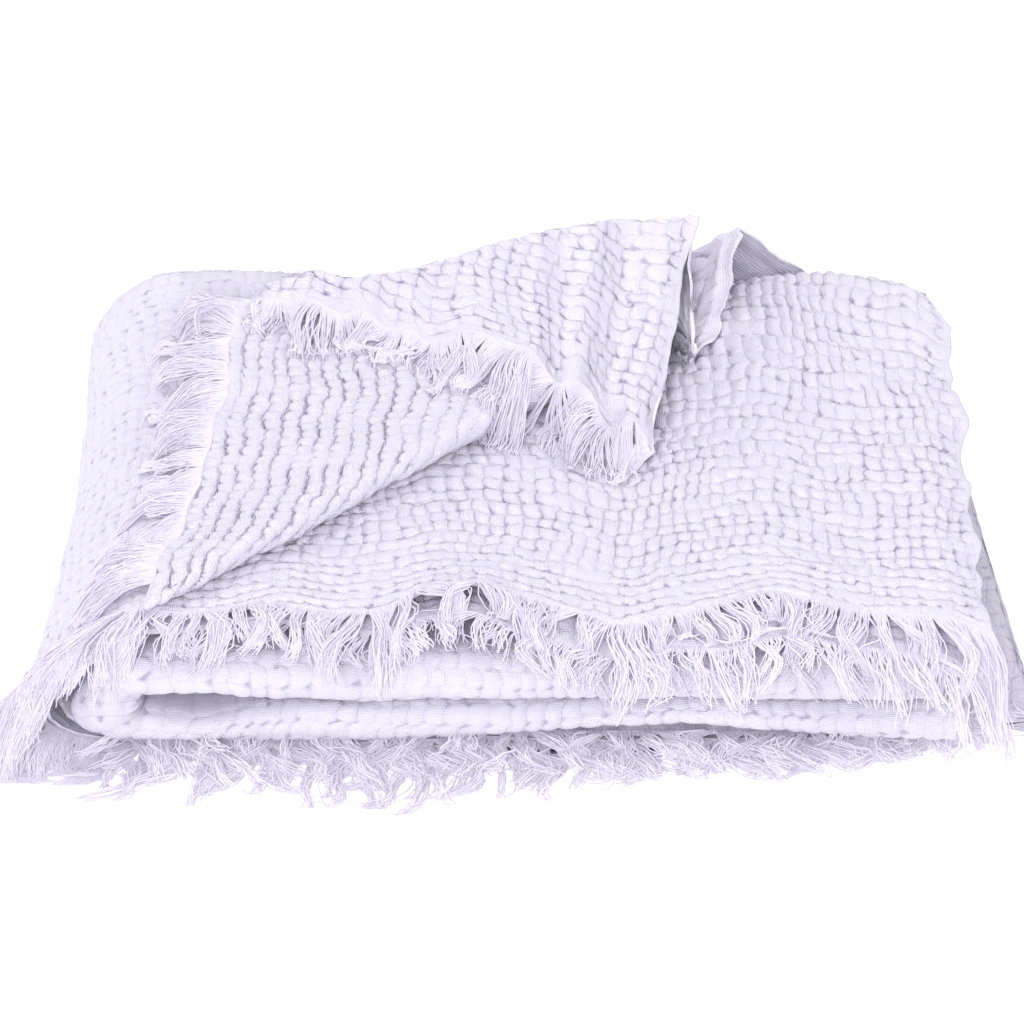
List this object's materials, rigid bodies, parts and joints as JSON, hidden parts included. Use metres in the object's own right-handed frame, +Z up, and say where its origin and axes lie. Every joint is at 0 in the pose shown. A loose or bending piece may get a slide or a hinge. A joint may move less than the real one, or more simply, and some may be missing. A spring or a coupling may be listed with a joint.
{
  "type": "muslin throw blanket",
  "caption": "Crinkled cotton muslin throw with fringed ends, folded to a low pile with its top corner turned back, for a bed, cot or sofa.",
  "frame": {"origin": "on the flat underside of the folded pile, at the middle of its footprint", "axes": "+X to the right along the front folds, +Y to the back, +Z up"},
  "size_m": [0.502, 0.368, 0.1445],
  "materials": {
    "muslin": "crinkled matt cotton gauze, pale lilac white",
    "fringe": "loose matt cotton threads, pale lilac white"
  },
  "bodies": {
    "root": {"throw_cloth": "muslin", "fringe_cover": "fringe", "fringe_under": "fringe", "fringe_corner": "fringe", "fringe_flap": "fringe", "fringe_side": "fringe", "fringe_side_second": "fringe", "fringe_floor": "fringe", "fringe_floor_second": "fringe", "fringe_floor_third": "fringe", "fringe_floor_fourth": "fringe"}
  },
  "joints": []
}
